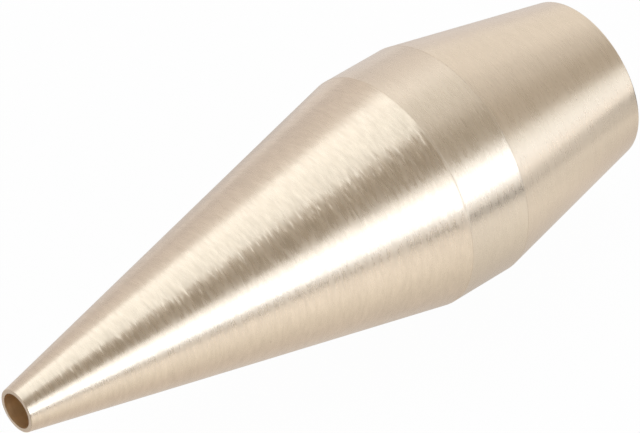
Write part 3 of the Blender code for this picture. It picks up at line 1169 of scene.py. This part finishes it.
class NOZZLE_OT_band(bpy.types.Operator):
    """Turn the parallel collar band"""

    bl_idname = "nozzle.band"
    bl_label = "Collar band"

    def execute(self, context):
        sizes, finish = context.scene.nozzle_sizes, context.scene.nozzle_finishes
        outline = band_outline(sizes)
        no_cut = np.zeros(len(outline))
        mesh = turned_mesh("collar_band_turned", outline, no_cut, sizes.thread_pitch, sizes.segments)
        lines = [(sizes.band_front, FRONT_EDGE_ROUGHNESS), (sizes.band_rear, REAR_EDGE_ROUGHNESS)]
        mesh.materials.append(turned_metal("band_turned", finish.band, BAND_TURNING, lines))
        piece = add_object("collar_band_turned", mesh)
        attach(piece, "collar")
        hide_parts("collar_band")
        return {"FINISHED"}


class NOZZLE_OT_tail(bpy.types.Operator):
    """Turn the tapered tail sleeve with its inlet and threaded bore"""

    bl_idname = "nozzle.tail"
    bl_label = "Tail sleeve"

    def execute(self, context):
        sizes, finish = context.scene.nozzle_sizes, context.scene.nozzle_finishes
        crest = sizes.thread_radius + sizes.thread_room
        start, end = thread_ends(sizes)
        outline = tail_outline(sizes, crest)
        cut = thread_cut(outline, start, end - THREAD_RUNOUT, crest, sizes.thread_depth)
        mesh = turned_mesh("tail_sleeve_turned", outline, cut, sizes.thread_pitch, sizes.segments)
        lines = [(sizes.band_rear, REAR_EDGE_ROUGHNESS)]
        mesh.materials.append(turned_metal("tail_turned", finish.tail, TAIL_TURNING, lines))
        piece = add_object("tail_sleeve_turned", mesh)
        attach(piece, "tail")
        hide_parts("tail_sleeve")
        return {"FINISHED"}


class NOZZLE_OT_inside(bpy.types.Operator):
    """Give the pieces inside the nozzle their own metals"""

    bl_idname = "nozzle.inside"
    bl_label = "Inner pieces"

    def execute(self, context):
        finish = context.scene.nozzle_finishes
        metals = {
            "orifice_insert": turned_metal("insert_ground", finish.steel, INSERT_TURNING),
            "swirl_distributor": turned_metal("brass_rod", finish.brass, ROD_TURNING),
            "lock_screw": turned_metal("screw_brass_cut", finish.screw, SCREW_TURNING),
            "seal_washer": turned_metal("copper_soft", finish.copper, WASHER_TURNING),
            "strainer": sintered_metal("bronze_grains", finish.bronze),
        }
        for node, metal in metals.items():
            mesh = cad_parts[node].data
            mesh.materials.clear()
            mesh.materials.append(metal)
        return {"FINISHED"}


class NOZZLE_OT_stage(bpy.types.Operator):
    """Set the floor, the light panels, the room and the camera"""

    bl_idname = "nozzle.stage"
    bl_label = "Stage"

    def execute(self, context):
        scene, studio = context.scene, context.scene.nozzle_studio
        corner = (-FLOOR_SIDE / 2, -FLOOR_SIDE / 2, -scene.nozzle_sizes.band_radius - FLOOR_GAP)
        sheet = flat_sheet("floor", corner, (FLOOR_SIDE, 0.0, 0.0), (0.0, FLOOR_SIDE, 0.0), FLOOR_CELLS)
        floor = add_object("floor", sheet)
        floor.data.materials.append(floor_material(studio))
        for panel in LIGHT_PANELS:
            add_light_panel(panel, getattr(studio, panel.setting))
        scene.world = room_world()
        scene.camera = add_camera()
        scene.view_settings.view_transform = "Standard"
        return {"FINISHED"}


# Sidebar and registration


class NOZZLE_PT_sidebar(bpy.types.Panel):
    """Lists the nozzle's operators and settings"""

    bl_idname = "NOZZLE_PT_sidebar"
    bl_label = "Turned nozzle"
    bl_space_type = "VIEW_3D"
    bl_region_type = "UI"
    bl_category = "Nozzle"

    def draw(self, context):
        for operator in OPERATORS:
            self.layout.operator(operator.bl_idname)
        for group in GROUPS:
            box = self.layout.box()
            settings = getattr(context.scene, group)
            for name in settings.bl_rna.properties.keys():
                if name not in ("rna_type", "name"):
                    box.prop(settings, name)


GROUPS = {
    "nozzle_sizes": NozzleSizes,
    "nozzle_finishes": NozzleFinishes,
    "nozzle_studio": NozzleStudio,
}
OPERATORS = (NOZZLE_OT_nose, NOZZLE_OT_band, NOZZLE_OT_tail, NOZZLE_OT_inside, NOZZLE_OT_stage)
CLASSES = (*GROUPS.values(), *OPERATORS, NOZZLE_PT_sidebar)


def register():
    """Register the classes and hang the property groups on the scene."""
    for item in CLASSES:
        bpy.utils.register_class(item)
    for name, group in GROUPS.items():
        setattr(bpy.types.Scene, name, bpy.props.PointerProperty(type=group))


def unregister():
    """Take back what register did, in the opposite order."""
    for name in reversed(GROUPS):
        delattr(bpy.types.Scene, name)
    for item in reversed(CLASSES):
        bpy.utils.unregister_class(item)


def main():
    register()
    bpy.ops.nozzle.nose()
    bpy.ops.nozzle.band()
    bpy.ops.nozzle.tail()
    bpy.ops.nozzle.inside()
    bpy.ops.nozzle.stage()


if __name__ == "__main__":
    main()
